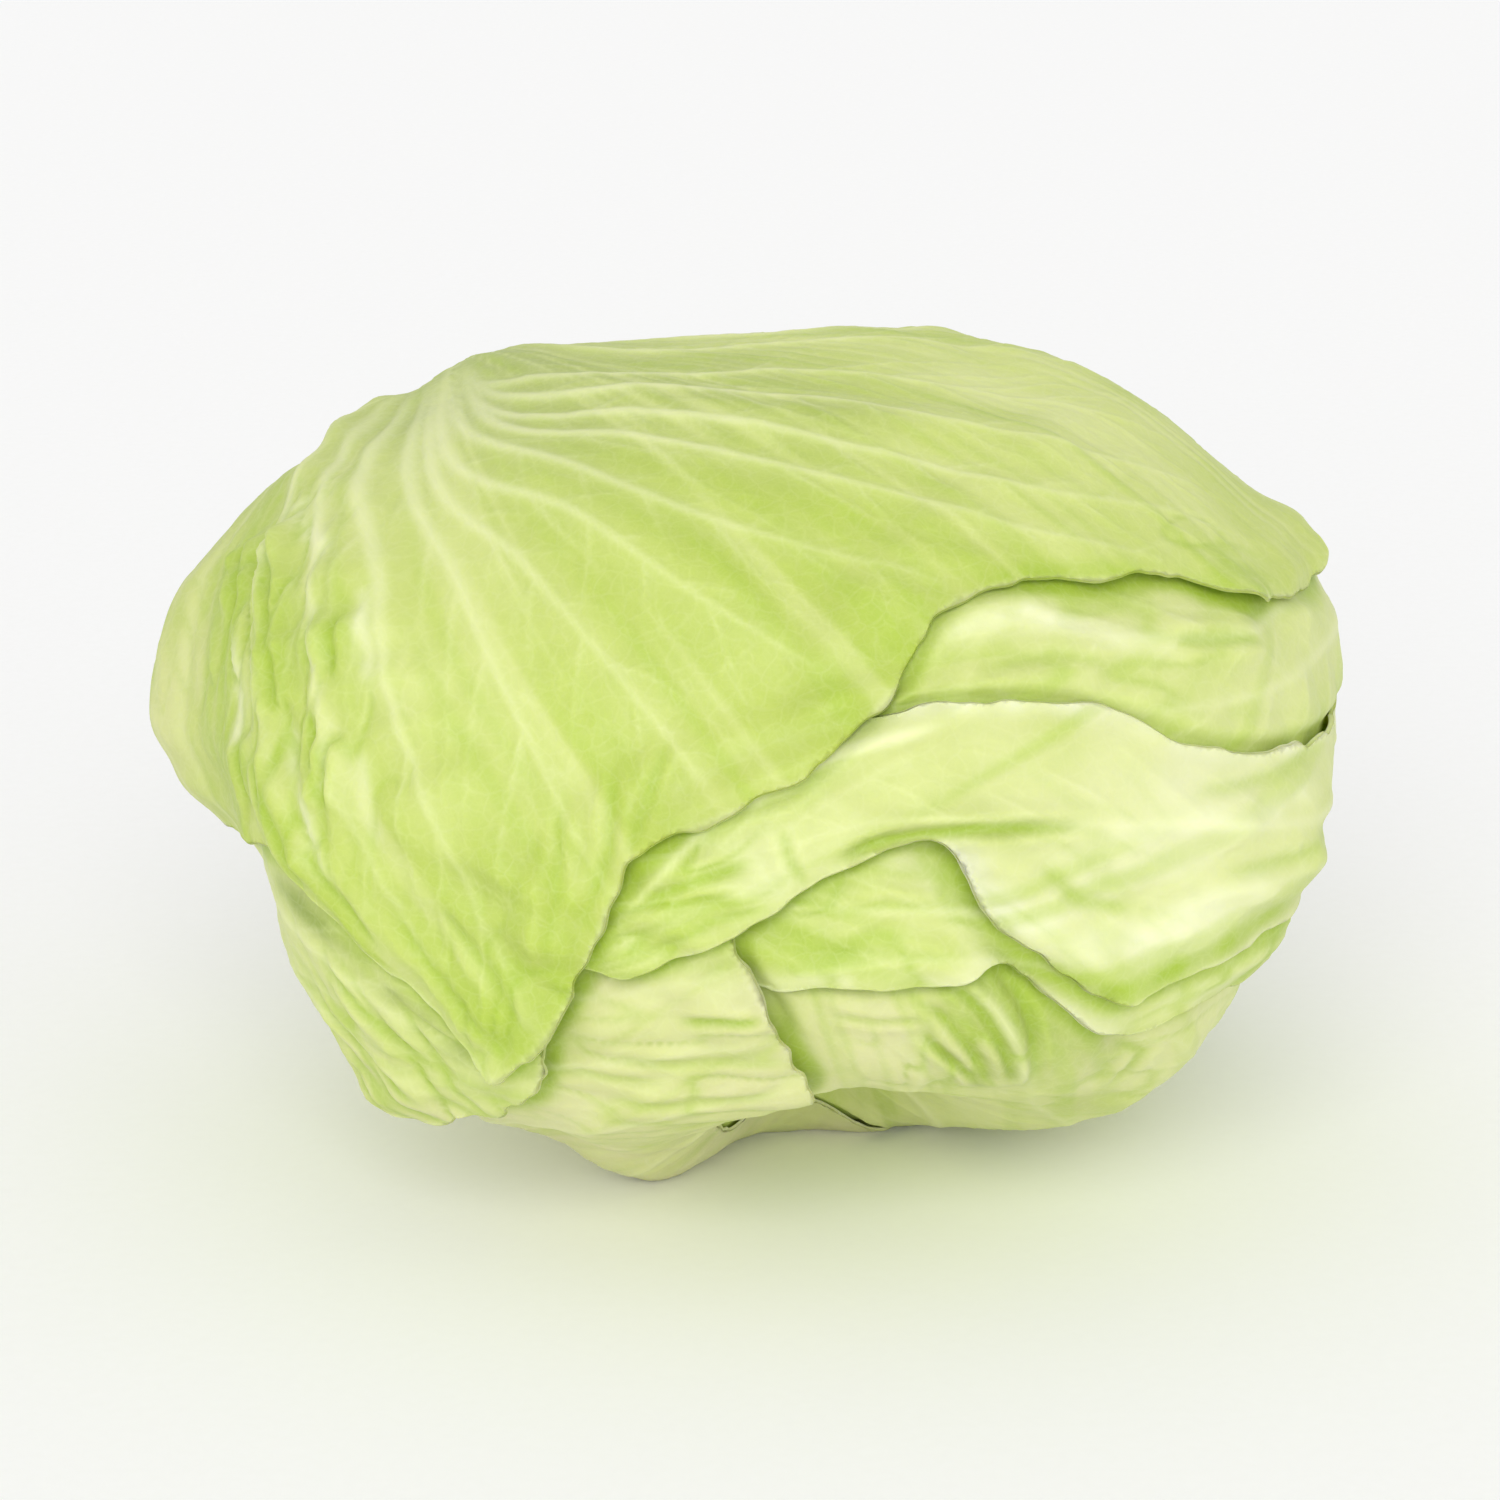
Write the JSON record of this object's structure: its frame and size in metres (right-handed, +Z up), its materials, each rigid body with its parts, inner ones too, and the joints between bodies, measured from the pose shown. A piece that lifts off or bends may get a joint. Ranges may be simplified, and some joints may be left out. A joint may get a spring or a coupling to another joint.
{
  "type": "cabbage head",
  "caption": "Head of green cabbage lying on its side: loose pale wrapper leaves with waved margins and raised ribs over a dense heart, with a cut stem.",
  "frame": {"origin": "on the floor, under the middle of the head's box", "axes": "+X to the right across the head's longest way, -Y towards the side where the leaf margins show, +Z up; the cut stem points backwards, to the left"},
  "size_m": [0.2196, 0.195, 0.1486],
  "materials": {
    "heart": "pale waxy leaf",
    "stem": "cut plant tissue, dry and dull",
    "leaf_underside": "yellow-green waxy leaf",
    "leaf_right_lower": "light green waxy leaf",
    "leaf_bottom_left": "pale beige-green waxy leaf",
    "leaf_lower_left": "fresh green waxy leaf",
    "leaf_right_upper": "pale green waxy leaf",
    "leaf_right": "very pale green waxy leaf",
    "leaf_cover": "lime green waxy leaf with pale ribs"
  },
  "bodies": {
    "root": {"heart": "heart", "stem": "stem", "leaf_underside": "leaf_underside", "leaf_right_lower": "leaf_right_lower", "leaf_bottom_left": "leaf_bottom_left", "leaf_lower_left": "leaf_lower_left", "leaf_right_upper": "leaf_right_upper", "leaf_right": "leaf_right", "leaf_cover": "leaf_cover"}
  },
  "joints": []
}
